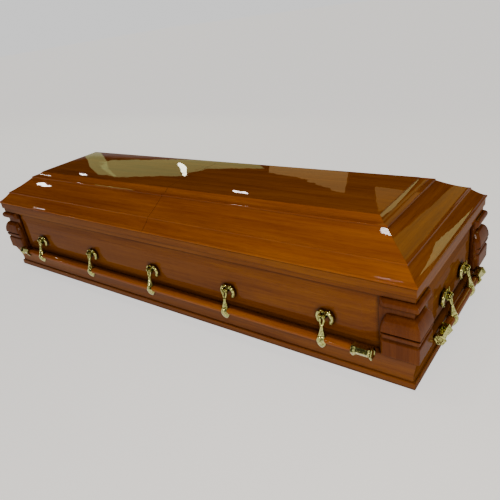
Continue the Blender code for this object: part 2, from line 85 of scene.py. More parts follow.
class Recipe:
    """The nodes of a material or world while they are drawn up.

    An input of a node, by its name or number, is set to a value or linked from an output.
    """

    def __init__(self, owner: bpy.types.Material | bpy.types.World) -> None:
        """Start on the nodes of their owner."""
        owner.use_nodes = True
        self.tree = owner.node_tree

    def fill(self, node: bpy.types.Node, inputs: dict[str | int, Any]) -> None:
        """Set or link the inputs of a node.

        Args:
            node: the node.
            inputs: its inputs, each with a value or an output.
        """
        for name, value in inputs.items():
            if isinstance(value, bpy.types.NodeSocket):
                self.tree.links.new(value, node.inputs[name])
            else:
                node.inputs[name].default_value = value

    def node(self, kind: str, inputs: dict[str | int, Any] | None = None, **settings: Any) -> bpy.types.Node:
        """Add a node.

        Args:
            kind: its type's name after ShaderNode.
            inputs: its inputs, each with a value or an output.
            settings: its own settings.

        Returns:
            The new node.
        """
        node = self.tree.nodes.new("ShaderNode" + kind)
        for name, value in settings.items():
            setattr(node, name, value)
        self.fill(node, inputs or {})
        return node

    def place(self) -> bpy.types.NodeSocket:
        """Object coordinates."""
        return self.node("TexCoord").outputs["Object"]

    def ramp(self, factor: bpy.types.NodeSocket,
             stops: Sequence[tuple[float, Colour]]) -> bpy.types.NodeSocket:
        """Turn a value to a colour.

        Args:
            factor: the value.
            stops: places from 0 to 1 with their linear colours, in order.

        Returns:
            The colour.
        """
        ramp = self.node("ValToRGB", {0: factor})
        elements = ramp.color_ramp.elements
        while len(elements) < len(stops):
            elements.new(1.0)
        for element, (place, colour) in zip(elements, stops):
            element.position = place
            element.color = colour
        return ramp.outputs[0]

    def mix(self, share: Any, first: Any, second: Any, blend: str = "MIX") -> bpy.types.NodeSocket:
        """Mix a share of a second colour into a first, each a value or an output."""
        inputs = {0: share, 6: first, 7: second}
        return self.node("Mix", inputs, data_type="RGBA", blend_type=blend).outputs[2]

    def noise(self, place: bpy.types.NodeSocket, scale: float, detail: float,
              bend: float = 0.0) -> bpy.types.NodeSocket:
        """A noise on some coordinates, with its repeats per unit, its octaves and how its lines wander."""
        inputs = {"Vector": place, "Scale": scale, "Detail": detail, "Distortion": bend}
        return self.node("TexNoise", inputs).outputs[0]

    def grain(self, place: bpy.types.NodeSocket, axis: GrainAxis, repeats: tuple[float, float],
              detail: float, bend: float) -> bpy.types.NodeSocket:
        """A noise drawn out along the grain, with its repeats per metre along it and across it."""
        mapped = self.node("Mapping", {"Vector": place, "Scale": axis.stretched(*repeats)})
        return self.noise(mapped.outputs[0], 1.0, detail, bend)

    def bump(self, relief: bpy.types.NodeSocket, strength: float, distance: float) -> bpy.types.NodeSocket:
        """The normal of a relief, of which a value of one stands distance metres high."""
        inputs = {"Strength": strength, "Distance": distance, "Height": relief}
        return self.node("Bump", inputs).outputs[0]

    def spread(self, value: bpy.types.NodeSocket, span: tuple[float, float],
               least: float, most: float) -> bpy.types.NodeSocket:
        """Stretch the part of a value that lies in a span to run from least to most."""
        inputs = {"Value": value, "From Min": span[0], "From Max": span[1], "To Min": least, "To Max": most}
        return self.node("MapRange", inputs).outputs[0]

    def openness(self, samples: int, reach: float, span: tuple[float, float],
                 least: float) -> bpy.types.NodeSocket:
        """How open the surface is within reach: least where closed, and one where open."""
        rays = self.node("AmbientOcclusion", {"Distance": reach}, samples=samples)
        return self.spread(rays.outputs["AO"], span, least, 1.0)


@dataclass(frozen=True)
class LacqueredMahogany:
    """Mahogany, stained and filled, under clear polyester lacquer buffed to a mirror.

    The lacquer gives sharp reflections over a warm brown that glows where light falls on it. A growth
    band is about 40 mm wide, a streak about 7 mm and a pore line about 1.2 mm.
    """

    name: str
    grain: GrainAxis
    shade: str = "#562b08"
    body: str = "#66380b"
    glow: str = "#76450e"
    gloss: float = 0.22
    # painted shade: reach, span and depth of the darkening in inner corners
    corner_shade_reach: float = 0.016
    corner_shade_span: tuple[float, float] = (0.45, 0.92)
    corner_shade_tone: float = 0.12
    bands: tuple[float, float] = (1.5, 25.0)
    streaks: tuple[float, float] = (4.2, 140.0)
    pores: tuple[float, float] = (24.0, 800.0)
    streak_share: float = 0.38
    pore_share: float = 0.45
    pore_tone: Colour = (0.55, 0.50, 0.45, 1.0)

    def material(self) -> bpy.types.Material:
        """Build the material.

        Returns:
            The lacquered wood, with its grain on object coordinates.
        """
        made = bpy.data.materials.new(self.name)
        recipe = Recipe(made)
        place = recipe.place()
        bands = recipe.grain(place, self.grain, self.bands, 3.0, 0.6)
        streaks = recipe.grain(place, self.grain, self.streaks, 4.0, 0.0)
        pores = recipe.grain(place, self.grain, self.pores, 2.0, 0.0)
        figure = recipe.node("Mix", {0: self.streak_share, 2: bands, 3: streaks}, data_type="FLOAT")
        tone = recipe.ramp(figure.outputs[0], [(0.30, linear(self.shade)), (0.48, linear(self.body)),
                                               (0.70, linear(self.glow))])
        lines = recipe.ramp(pores, [(0.36, self.pore_tone), (0.46, (1.0, 1.0, 1.0, 1.0))])
        grained = recipe.mix(self.pore_share, tone, lines, "MULTIPLY")
        # painted shade: the wood is darkened in its inner corners and recesses, where shade falls
        corners = recipe.openness(5, self.corner_shade_reach, self.corner_shade_span, self.corner_shade_tone)
        ripple = recipe.noise(place, 15.0, 1.0)
        # the stained wood under the lacquer has no shine of its own
        recipe.fill(recipe.tree.nodes["Principled BSDF"], {
            "Base Color": recipe.mix(1.0, grained, corners, "MULTIPLY"), "Roughness": 0.42,
            "Specular IOR Level": 0.0, "Coat Weight": self.gloss, "Coat Roughness": 0.02, "Coat IOR": 1.5,
            "Coat Normal": recipe.bump(ripple, 0.12, 0.002)})
        return made


@dataclass(frozen=True)
class PolishedBrass:
    """Cast brass, polished and clear-lacquered: pale yellow with near-black reflections.

    It is a little duller in patches of about 5 mm, and has shallow tool marks of about 4 mm.
    """

    name: str = "polished_brass"
    bright: str = "#c2c078"
    worn: str = "#7b7a3c"
    # painted shade: the near-black colour of the casting's recesses
    recess: str = "#16160a"
    recess_shade_reach: float = 0.010
    recess_shade_span: tuple[float, float] = (0.35, 0.85)
    patch_scale: float = 200.0
    mark_scale: float = 240.0
    dull: float = 0.14
    smooth: float = 0.06

    def material(self) -> bpy.types.Material:
        """Build the material.

        Returns:
            The brass, with painted shade that darkens the recesses of the casting to near black.
        """
        made = bpy.data.materials.new(self.name)
        recipe = Recipe(made)
        place = recipe.place()
        patches = recipe.noise(place, self.patch_scale, 3.0)
        tone = recipe.ramp(patches, [(0.35, linear(self.worn)), (0.6, linear(self.bright))])
        marks = recipe.noise(place, self.mark_scale, 1.0)
        # painted shade: the recesses of the casting are darkened, where shade falls
        openness = recipe.openness(6, self.recess_shade_reach, self.recess_shade_span, 0.0)
        recipe.fill(recipe.tree.nodes["Principled BSDF"], {
            "Base Color": recipe.mix(openness, linear(self.recess), tone), "Metallic": 1.0,
            "Roughness": recipe.spread(patches, (0.3, 0.7), self.dull, self.smooth),
            "Normal": recipe.bump(marks, 0.3, 0.0012)})
        return made


@dataclass(frozen=True)
class PlanedBoard:
    """Plain planed softwood of the floor board: pale, dull, with fine dark grain lines."""

    name: str = "planed_board"
    pale: str = "#b8935f"
    dark: str = "#93703f"
    repeats: tuple[float, float] = (3.0, 90.0)

    def material(self) -> bpy.types.Material:
        """Build the material.

        Returns:
            The bare wood, grain along the length.
        """
        made = bpy.data.materials.new(self.name)
        recipe = Recipe(made)
        lines = recipe.grain(recipe.place(), GrainAxis.LENGTH, self.repeats, 5.0, 0.4)
        tone = recipe.ramp(lines, [(0.40, linear(self.dark)), (0.60, linear(self.pale))])
        recipe.fill(recipe.tree.nodes["Principled BSDF"], {"Base Color": tone, "Roughness": 0.65})
        return made


@dataclass(frozen=True)
class StudioPaper:
    """Matt grey paper over a light table under the coffin: pale, evenly bright, without gloss."""

    name: str = "studio_paper"
    paper: str = "#b4b4b4"
    table_light: str = "#f3f5f8"
    lit_from_below: float = 0.92

    def material(self) -> bpy.types.Material:
        """Build the material.

        Returns:
            The evenly lit paper.
        """
        made = bpy.data.materials.new(self.name)
        recipe = Recipe(made)
        recipe.fill(recipe.tree.nodes["Principled BSDF"], {
            "Base Color": linear(self.paper), "Roughness": 0.9, "Specular IOR Level": 0.0,
            "Emission Color": linear(self.table_light), "Emission Strength": self.lit_from_below})
        return made


class Finishes:
    """The materials of the coffin, each made once."""

    def __init__(self) -> None:
        """Make them."""
        self.along = LacqueredMahogany("lacquered_mahogany_long", GrainAxis.LENGTH).material()
        self.across = LacqueredMahogany("lacquered_mahogany_cross", GrainAxis.WIDTH).material()
        # painted shade: the posts take a darker copy of the same wood, with its grain upright
        self.upright = LacqueredMahogany("lacquered_mahogany_upright", GrainAxis.HEIGHT,
                                         "#482107", "#562b09", "#64360c").material()
        # painted light: a lighter copy of the same wood, for the lid's moulding, whose slopes look brighter
        # under the light; the long bars take it too
        self.golden_lit_copy = LacqueredMahogany("lacquered_mahogany_golden", GrainAxis.LENGTH,
                                        "#6a3407", "#7a410a", "#8b500d").material()
        self.ends = LacqueredMahogany("lacquered_mahogany_ends", GrainAxis.WIDTH,
                                      "#522b08", "#62370b", "#72450e", 0.08).material()
        self.brass = PolishedBrass().material()
        self.board = PlanedBoard().material()

    def for_side(self, side: "Side") -> bpy.types.Material:
        """The wood whose grain runs along a side."""
        return self.along if side.is_long else self.ends


HALF_LENGTH = 1.060
HALF_WIDTH = 0.344
GAP = 0.0003
INNER_INSET = 0.044
BASE_TOP = 0.107
POST_TOP = 0.2998
RIM_FOOT = 0.3001
RIM_TOP = 0.3455
LID_SEAT = 0.3458
POST_LEG = 0.116
POST_LAP = 0.020
BOARD_INSET = 0.024
FINE_ROUND = 0.0012


class Side(Enum):
    """The two long sides and the two ends, each with its quarter turn from the front."""

    FRONT = 0
    FOOT = 1
    BACK = 2
    HEAD = 3

    @property
    def label(self) -> str:
        """The word for this side in the names of pieces."""
        return self.name.lower()

    @property
    def is_long(self) -> bool:
        """Whether this is one of the long sides."""
        return self.value % 2 == 0

    @property
    def half_along(self) -> float:
        """Half the lip's length along this side."""
        return HALF_LENGTH if self.is_long else HALF_WIDTH

    @property
    def half_across(self) -> float:
        """How far this side's lip line lies from the middle."""
        return HALF_WIDTH if self.is_long else HALF_LENGTH

    def place(self, inset: float = 0.0, height: float = 0.0) -> Matrix:
        """Move to this side of a piece drawn along X on the lip line, by an inset inwards and a height."""
        turn = Matrix.Rotation(self.value * math.pi / 2, 4, "Z")
        return turn @ Matrix.Translation((0.0, inset - self.half_across, height))


def rounded(corners: Sequence[Triple], segments: int = 3) -> Section:
    """Round the corners of a moulding's section.

    Args:
        corners: inset, height and radius of each corner, in order round the section.
        segments: facets of each round.

    Returns:
        The section's points in order.
    """
    work = bmesh.new()
    verts = [work.verts.new((inset, height, 0.0)) for inset, height, _ in corners]
    work.faces.new(verts)
    for radius in sorted({radius for _, _, radius in corners if radius > 0}):
        chosen = [vert for vert, corner in zip(verts, corners) if corner[2] == radius]
        bmesh.ops.bevel(work, geom=chosen, offset=radius, offset_type="OFFSET", segments=segments,
                        profile=0.5, affect="VERTICES", material=-1, clamp_overlap=True)
    work.faces.ensure_lookup_table()
    points = [(vert.co.x, vert.co.y) for vert in work.faces[0].verts]
    work.free()
    return points


def ring_edges(work: bmesh.types.BMesh, row: list[bmesh.types.BMVert]) -> list[bmesh.types.BMEdge]:
    """Find the edges round a row of corners.

    Args:
        work: the mesh.
        row: the corners in order.

    Returns:
        The edges in the same order.
    """
    return [work.edges.get((near, far)) for near, far in zip(row, row[1:] + row[:1])]


def draw_rings(work: bmesh.types.BMesh, rings: Sequence[Ring], closed: bool = False,
               slots: Sequence[int] = ()) -> list[list[bmesh.types.BMVert]]:
    """Extrude a ring from place to place into a skin.

    Args:
        work: the mesh that the skin is drawn in.
        rings: the places of the ring's corners at each station.
        closed: whether the last station meets the first; otherwise both ends are capped.
        slots: material number of each stretch between stations.

    Returns:
        The corners at each station.
    """
    row = [work.verts.new(point) for point in rings[0]]
    edges = [work.edges.new((near, far)) for near, far in zip(row, row[1:] + row[:1])]
    rows, first_edges = [row], edges
    for number, ring in enumerate(rings[1:]):
        made = bmesh.ops.extrude_edge_only(work, edges=edges)["geom"]
        fresh = [item for item in made if isinstance(item, bmesh.types.BMVert)]
        old = set(row)
        partner = {}
        for vert in fresh:
            for edge in vert.link_edges:
                other = edge.other_vert(vert)
                if other in old:
                    partner[other] = vert
        row = [partner[vert] for vert in row]
        for vert, point in zip(row, ring):
            vert.co = point
        if slots:
            for face in (item for item in made if isinstance(item, bmesh.types.BMFace)):
                face.material_index = slots[number]
        edges = ring_edges(work, row)
        rows.append(row)
    if closed:
        bmesh.ops.remove_doubles(work, verts=rows[0] + rows[-1], dist=1e-6)
    else:
        bmesh.ops.contextual_create(work, geom=first_edges)
        bmesh.ops.contextual_create(work, geom=edges)
    return rows


def soften(work: bmesh.types.BMesh, edges: Sequence[bmesh.types.BMEdge], radius: float,
           segments: int = 2) -> None:
    """Take the sharpness off edges.

    Args:
        work: the mesh.
        edges: the edges to soften.
        radius: width of the bevel.
        segments: its facets.
    """
    bmesh.ops.bevel(work, geom=list(edges), offset=radius, offset_type="OFFSET", segments=segments,
                    profile=0.5, affect="EDGES", material=-1, clamp_overlap=True)


def sharp_edges(work: bmesh.types.BMesh, least_degrees: float) -> list[bmesh.types.BMEdge]:
    """Find the edges where two faces meet at more than an angle.

    Args:
        work: the mesh.
        least_degrees: the smallest turn between the faces.

    Returns:
        The edges.
    """
    bmesh.ops.recalc_face_normals(work, faces=work.faces)
    least = math.radians(least_degrees)
    return [edge for edge in work.edges if edge.is_manifold and edge.calc_face_angle(0.0) > least]


def make_piece(name: str, node: str, work: bmesh.types.BMesh, materials: Sequence[bpy.types.Material],
               move: Matrix | None = None, body: str = "casket",
               smooth: float = 32.0) -> None:
    """Finish a piece: clean its mesh, shade it, dress it and fix it to its body.

    Args:
        name: the piece's name.
        node: the solid that it stands for.
        work: its mesh, which is used up.
        materials: its materials, in slot order.
        move: where it goes, if it isn't drawn in place.
        body: the body that it moves with.
        smooth: the largest turn in degrees that is shaded as a curve.
    """
    if move is not None:
        bmesh.ops.transform(work, matrix=move, verts=work.verts)
    bmesh.ops.recalc_face_normals(work, faces=work.faces)
    mesh = bpy.data.meshes.new(name)
    work.to_mesh(mesh)
    work.free()
    mesh.polygons.foreach_set("use_smooth", [True] * len(mesh.polygons))
    mesh.set_sharp_from_angle(angle=math.radians(smooth))
    for material in materials:
        mesh.materials.append(material)
    piece = bpy.data.objects.new(name, mesh)
    bpy.context.scene.collection.objects.link(piece)
    level = piece.modifiers.new("flat_faces_first", "WEIGHTED_NORMAL")
    level.keep_sharp = True
    level.weight = 50
    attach(piece, body)
    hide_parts(node)
    LOG.info("%s: %d faces", name, len(mesh.polygons))


def corner_ring(section: Section, end: int, across: int) -> Ring:
    """Set a section on the mitre of one corner of the box.

    Args:
        section: inset and height of its points.
        end: 1 at the foot end, -1 at the head end.
        across: 1 at the back, -1 at the front.

    Returns:
        The ring on the mitre plane.
    """
    return [Vector((end * (HALF_LENGTH - inset), across * (HALF_WIDTH - inset), height))
            for inset, height in section]


@dataclass
class BaseMoulding:
    """Four mitred lengths of the base: a rounded foot, a hollow, and an ogee up to a square fillet."""

    finishes: Finishes
    foot_inset: float = 0.008
    foot_height: float = 0.0255
    foot_round: float = 0.004
    hollow_inset: float = 0.0155
    hollow_top: float = 0.040
    hollow_slant: float = 0.001
    hollow_lip: float = 0.002
    top_inset: float = 0.002
    fillet: float = 0.007
    ledge_height: float = 0.012
    ledge_depth: float = 0.016
    ogee_steps: int = 14
    ogee_power: float = 1.5

    def section(self) -> Section:
        """Section of the moulding with the ledge that carries the floor board.

        Returns:
            Inset and height of its points.
        """
        foot, ledge = self.foot_inset, INNER_INSET + self.ledge_depth
        corners = [
            (foot, 0.0, self.foot_round),
            (foot, self.foot_height, self.foot_round),
            (self.hollow_inset - self.hollow_slant, self.foot_height, FINE_ROUND),
            (self.hollow_inset, self.hollow_top - self.hollow_lip, 0.0),
        ]
        rise = BASE_TOP - self.fillet - self.hollow_top
        for step in range(self.ogee_steps + 1):
            share = step / self.ogee_steps
            inset = self.hollow_inset - (self.hollow_inset - self.top_inset) * share ** self.ogee_power
            corners.append((inset, self.hollow_top + rise * share, 0.0))
        corners += [
            (self.top_inset, BASE_TOP, FINE_ROUND),
            (INNER_INSET, BASE_TOP, 0.0),
            (INNER_INSET, self.ledge_height, 0.0),
            (ledge, self.ledge_height, 0.0),
            (ledge, 0.0, 0.0),
        ]
        return rounded(corners)

    def build(self) -> None:
        """Make the four lengths."""
        section = self.section()
        for side in Side:
            work = bmesh.new()
            draw_rings(work, [
                [Vector((end * (side.half_along - inset - GAP), inset, height)) for inset, height in section]
                for end in (-1, 1)])
            make_piece(f"base_moulding_{side.label}", f"base_{side.label}", work,
                       [self.finishes.for_side(side)], side.place())


@dataclass
class CornerPosts:
    """Four carved posts, each an angle of two faces: a band, a groove, a swelling cushion and a torus."""

    finishes: Finishes
    stile_inset: float = 0.013
    band_height: float = 0.0607
    band_outset: float = 0.0095
    band_round: float = 0.003
    edge_outset: float = 0.004
    edge_height: float = 0.005
    groove_height: float = 0.006
    groove_outset: float = 0.003
    cushion_foot: float = 0.016
    cushion_foot_outset: float = 0.008
    cushion_foot_round: float = 0.0015
    cushion_outset: float = 0.0125
    cushion_round: float = 0.006
    cushion_rise: float = 0.057
    neck_height: float = 0.0218
    torus_height: float = 0.031
    torus_inset: float = 0.009
    torus_proud: float = 0.014
    back_inset: float = 0.05
    setback: float = 0.005
    cushion_top_setback: float = 0.024
    end_round: float = 0.014
    end_steps: int = 6
    steps: int = 14

    def levels(self) -> list[Triple]:
        """Face of the post from the bottom up.

        Returns:
            Inset, height and end setback of each level.
        """
        foot = BASE_TOP + GAP
        edge, band = -self.edge_outset, -self.band_outset
        height = foot + self.band_height
        low = [(edge, foot, 0.0), (band, foot + self.edge_height, self.band_round),
               (band, height - self.edge_height, self.band_round), (edge, height, FINE_ROUND)]
        height += self.groove_height
        low += [(-self.groove_outset, height - self.groove_height / 2, 0.0),
                (-self.cushion_foot_outset, height, self.cushion_foot_round)]
        height += self.cushion_foot
        low += [(-self.cushion_outset, height, self.cushion_round)]
        back = [(self.back_inset, height, 0.0), (self.back_inset, foot, 0.0)]
        points = rounded(low + back, 4)
        face = sorted((point for point in points if point[0] < self.stile_inset),
                      key=lambda point: point[1])
        levels = [(inset, level, self.setback) for inset, level in face]
        shoulder = self.cushion_outset + self.stile_inset
        for step in range(1, self.steps + 1):
            turn = math.pi / 2 * step / self.steps
            rise = math.sin(turn)
            setback = self.setback + (self.cushion_top_setback - self.setback) * rise ** 2
            levels.append((self.stile_inset - shoulder * math.cos(turn), height + self.cushion_rise * rise,
                           setback))
        height += self.cushion_rise + self.neck_height
        levels.append((self.stile_inset, height - GAP, self.cushion_top_setback))
        for step in range(self.steps + 1):
            turn = math.pi * step / self.steps
            levels.append((self.torus_inset - self.torus_proud * math.sin(turn),
                           height + self.torus_height * (1 - math.cos(turn)) / 2, self.setback))
        return levels

    def ring(self, inset: float, height: float, setback: float) -> Ring:
        """Plan of a post at one level, its corner at the origin and its legs along +X and +Y.

        Args:
            inset: how far the face lies inside the lip line.
            height: the level.
            setback: how far short of the leg's end the carving stops.

        Returns:
            The corners of the plan.
        """
        end = POST_LEG - setback
        depth = self.stile_inset - inset
        core = POST_LEG - POST_LAP
        leg = [(inset + FINE_ROUND * 2, inset)]
        for step in range(self.end_steps + 1):
            turn = math.pi / 2 * step / self.end_steps
            leg.append((end - self.end_round * (1 - math.sin(turn)),
                        self.stile_inset - depth * math.cos(turn)))
        leg += [(POST_LEG, self.stile_inset), (POST_LEG, BOARD_INSET - GAP),
                (core, BOARD_INSET - GAP), (core, INNER_INSET)]
        along_x = [Vector((x, y, height)) for x, y in leg]
        along_y = [Vector((y, x, height)) for x, y in reversed(leg)]
        arris = Vector((inset + FINE_ROUND * 0.6, inset + FINE_ROUND * 0.6, height))
        return [arris] + along_x + [Vector((INNER_INSET, INNER_INSET, height))] + along_y

    def build(self) -> None:
        """Make the four posts."""
        corners = (("head_front", -1, -1), ("foot_front", 1, -1), ("foot_back", 1, 1), ("head_back", -1, 1))
        for quarter, (corner, end, across) in enumerate(corners):
            work = bmesh.new()
            draw_rings(work, [self.ring(*level) for level in self.levels()])
            move = (Matrix.Translation((end * HALF_LENGTH, across * HALF_WIDTH, 0.0))
                    @ Matrix.Rotation(quarter * math.pi / 2, 4, "Z"))
            # the posts take the darker, shaded copy of the wood
            make_piece(f"carved_post_{corner}", f"post_{corner}", work, [self.finishes.upright], move)


@dataclass
class PanelledSides:
    """Four side boards, each with a raised panel that bevels back at its top and ends."""

    finishes: Finishes
    recess: float = 0.021
    top_gap: float = 0.003
    end_gap: float = 0.004
    edge_proud: float = 0.002
    field_proud: float = 0.010
    top_bevel: float = 0.040
    side_bevel: float = 0.050
    bottom_bevel: float = 0.005
    arris: float = 0.0015

    def build(self) -> None:
        """Make the four boards."""
        foot, top = BASE_TOP + self.recess, POST_TOP - self.top_gap
        for side in Side:
            board = side.half_along - POST_LEG + POST_LAP - GAP
            panel = side.half_along - POST_LEG - self.end_gap
            rings = [
                self.rectangle(board, BASE_TOP + GAP, POST_TOP, INNER_INSET),
                self.rectangle(board, BASE_TOP + GAP, POST_TOP, BOARD_INSET),
                self.rectangle(panel, foot, top, BOARD_INSET),
                self.rectangle(panel, foot, top, BOARD_INSET - self.edge_proud),
                self.rectangle(panel - self.side_bevel, foot + self.bottom_bevel, top - self.top_bevel,
                               BOARD_INSET - self.field_proud),
            ]
            work = bmesh.new()
            rows = draw_rings(work, rings)
            raised = set(rows[3] + rows[4])
            soften(work, [edge for edge in work.edges if raised.issuperset(edge.verts)], self.arris, 3)
            make_piece(f"raised_panel_{side.label}", f"side_{side.label}", work,
                       [self.finishes.for_side(side)], side.place())

    @staticmethod
    def rectangle(half: float, foot: float, top: float, inset: float) -> Ring:
        """Corners of an upright rectangle, from half its length, its two heights and its inset."""
        return [Vector((-half, inset, foot)), Vector((half, inset, foot)),
                Vector((half, inset, top)), Vector((-half, inset, top))]


@dataclass
class RimMoulding:
    """The mitred rim under the lid: a lower band set back under an upper one."""

    finishes: Finishes
    lower_inset: float = 0.009
    upper_inset: float = 0.004
    step: float = 0.0187
    step_round: float = 0.002

    def build(self) -> None:
        """Make the rim."""
        line = RIM_FOOT + self.step
        section = rounded([
            (self.lower_inset, RIM_FOOT, FINE_ROUND),
            (self.lower_inset, line, 0.0),
            (self.upper_inset, line, self.step_round),
            (self.upper_inset, RIM_TOP, FINE_ROUND),
            (INNER_INSET, RIM_TOP, 0.0),
            (INNER_INSET, RIM_FOOT, 0.0),
        ])
        corners = ((-1, -1), (1, -1), (1, 1), (-1, 1), (-1, -1))
        work = bmesh.new()
        draw_rings(work, [corner_ring(section, *corner) for corner in corners], True, (0, 1, 0, 1))
        make_piece("rim_moulding", "rim_frame", work, [self.finishes.along, self.finishes.across])


@dataclass
class SplitLid:
    """The hipped lid in two halves: lip and ogee, fillet, slope, fillet, cove and a near-flat crown."""

    finishes: Finishes
    seam: float = 0.0008
    seam_round: float = 0.0007
    seam_least_edge: float = 0.0006
    lip_undercut: float = 0.004
    lip_foot: float = 0.003
    lip_top: float = 0.009
    lip_round: float = 0.002
    nose_inset: float = 0.003
    nose_top: float = 0.0105
    nose_round: float = 0.0008
    ogee_inset: float = 0.044
    ogee_height: float = 0.043
    ogee_power: float = 1.3
    riser: float = 0.006
    riser_lean: float = 0.001
    riser_round: float = 0.0009
    slope_foot_inset: float = 0.048
    slope_inset: float = 0.137
    slope_height: float = 0.100
    sag: float = 0.003
    cove_step: float = 0.004
    cove_flat: float = 0.40
    cove_inset: float = 0.1768
    cove_height: float = 0.1206
    cove_power: float = 1.35
    crown_inset: float = 0.178
    crown_thickness: float = 0.018
    crown_height: float = 0.122
    crown_round: float = 0.0013
    dome_rise: float = 0.003
    dome_run: float = 0.110
    dome_first: float = 0.05
    ledge: float = 0.018
    ledge_thickness: float = 0.012
    wall: float = 0.021
    ogee_steps: int = 14
    slope_steps: int = 12
    cove_steps: int = 18
    round_steps: int = 4
    dome_steps: int = 8

    def frame_section(self) -> Section:
        """Section of the moulded frame, outside from the lip up and then the inside back down.

        Returns:
            Inset and height of its points.
        """
        corners = [(self.lip_undercut, 0.0, 0.0), (0.0, self.lip_foot, self.lip_round),
                   (0.0, self.lip_top, self.lip_round), (self.nose_inset, self.nose_top, self.nose_round)]
        for step in range(1, self.ogee_steps + 1):
            share = step / self.ogee_steps
            corners.append((self.nose_inset + (self.ogee_inset - self.nose_inset) * share,
                            self.nose_top + (self.ogee_height - self.nose_top) * share ** self.ogee_power,
                            0.0))
        foot = self.ogee_height + self.riser
        corners.append((self.ogee_inset + self.riser_lean, foot, self.riser_round))
        run = self.slope_inset - self.slope_foot_inset
        for step in range(self.slope_steps + 1):
            share = step / self.slope_steps
            rise = (self.slope_height - foot) * share - self.sag * math.sin(math.pi * share)
            corners.append((self.slope_foot_inset + run * share, foot + rise, 0.0))
        cove_foot = self.slope_height + self.riser
        corners.append((self.slope_inset + self.riser_lean, cove_foot, self.riser_round))
        cove_start = self.slope_inset + self.cove_step
        for step in range(self.cove_steps + 1):
            share = step / self.cove_steps
            climb = max(share - self.cove_flat, 0.0) / (1 - self.cove_flat)
            corners.append((cove_start + (self.cove_inset - cove_start) * share,
                            cove_foot + (self.cove_height - cove_foot) * climb ** self.cove_power, 0.0))
        rebate = self.crown_inset - GAP
        ledge_top = self.crown_height - self.crown_thickness - GAP
        ledge_foot = ledge_top - self.ledge_thickness
        corners += [
            (rebate, self.cove_height, 0.0), (rebate, ledge_top, 0.0), (rebate + self.ledge, ledge_top, 0.0),
            (rebate + self.ledge, ledge_foot, 0.0), (rebate - self.wall / 6, ledge_foot, 0.0),
            (self.slope_inset, self.slope_height - self.wall, 0.0),
            (INNER_INSET, self.ogee_height - self.wall, 0.0), (INNER_INSET, 0.0, 0.0),
        ]
        return [(inset, LID_SEAT + height) for inset, height in rounded(corners)]

    def draw_frame(self) -> bmesh.types.BMesh:
        """Draw the moulded frame of the foot half.

        Returns:
            Its mesh.
        """
        section = self.frame_section()
        near = [[Vector((self.seam, across * (HALF_WIDTH - inset), height)) for inset, height in section]
                for across in (-1, 1)]
        work = bmesh.new()
        rows = draw_rings(work, [near[0], corner_ring(section, 1, -1), corner_ring(section, 1, 1), near[1]],
                          False, (0, 1, 0))
        for row in (rows[0], rows[-1]):
            cut = ring_edges(work, row)
            soften(work, [edge for edge in cut if edge.calc_length() > self.seam_least_edge],
                   self.seam_round)
        return work

    def draw_crown(self) -> bmesh.types.BMesh:
        """Draw the crown board of the foot half.

        Returns:
            Its mesh.
        """
        top = LID_SEAT + self.crown_height
        levels = [(self.crown_inset, top - self.crown_thickness)]
        for step in range(self.round_steps + 1):
            turn = math.pi / 2 * step / self.round_steps
            levels.append((self.crown_inset + self.crown_round * (1 - math.cos(turn)),
                           top - self.crown_round * (1 - math.sin(turn))))
        for step in range(1, self.dome_steps + 1):
            share = step / self.dome_steps
            levels.append((self.crown_inset + self.dome_run * max(share, self.dome_first),
                           top + self.dome_rise * (1 - (1 - share) ** 2)))
        rings = []
        for inset, height in levels:
            far, half = HALF_LENGTH - inset, HALF_WIDTH - inset
            rings.append([Vector((self.seam, -half, height)), Vector((far, -half, height)),
                          Vector((far, half, height)), Vector((self.seam, half, height))])
        work = bmesh.new()
        draw_rings(work, rings)
        return work

    def build(self) -> None:
        """Make both halves, the head half as the foot half turned round."""
        for half, turn in (("foot", Matrix.Identity(4)), ("head", Matrix.Rotation(math.pi, 4, "Z"))):
            # the moulding takes the lighter copy of the wood, which paints light on its slopes
            make_piece(f"lid_moulding_{half}", f"lid_{half}_frame", self.draw_frame(),
                       [self.finishes.golden_lit_copy, self.finishes.across], turn)
            make_piece(f"lid_board_{half}", f"lid_{half}_crown", self.draw_crown(), [self.finishes.along],
                       turn)


def round_ring(centre: Vector, out: Vector, up: Vector, facets: int) -> Ring:
    """A ring round a centre.

    Args:
        centre: its middle.
        out: its first half axis, whose length is the reach that way.
        up: its second half axis.
        facets: its corners.

    Returns:
        The corners.
    """
    turns = [2 * math.pi * step / facets for step in range(facets)]
    return [centre + out * math.cos(turn) + up * math.sin(turn) for turn in turns]


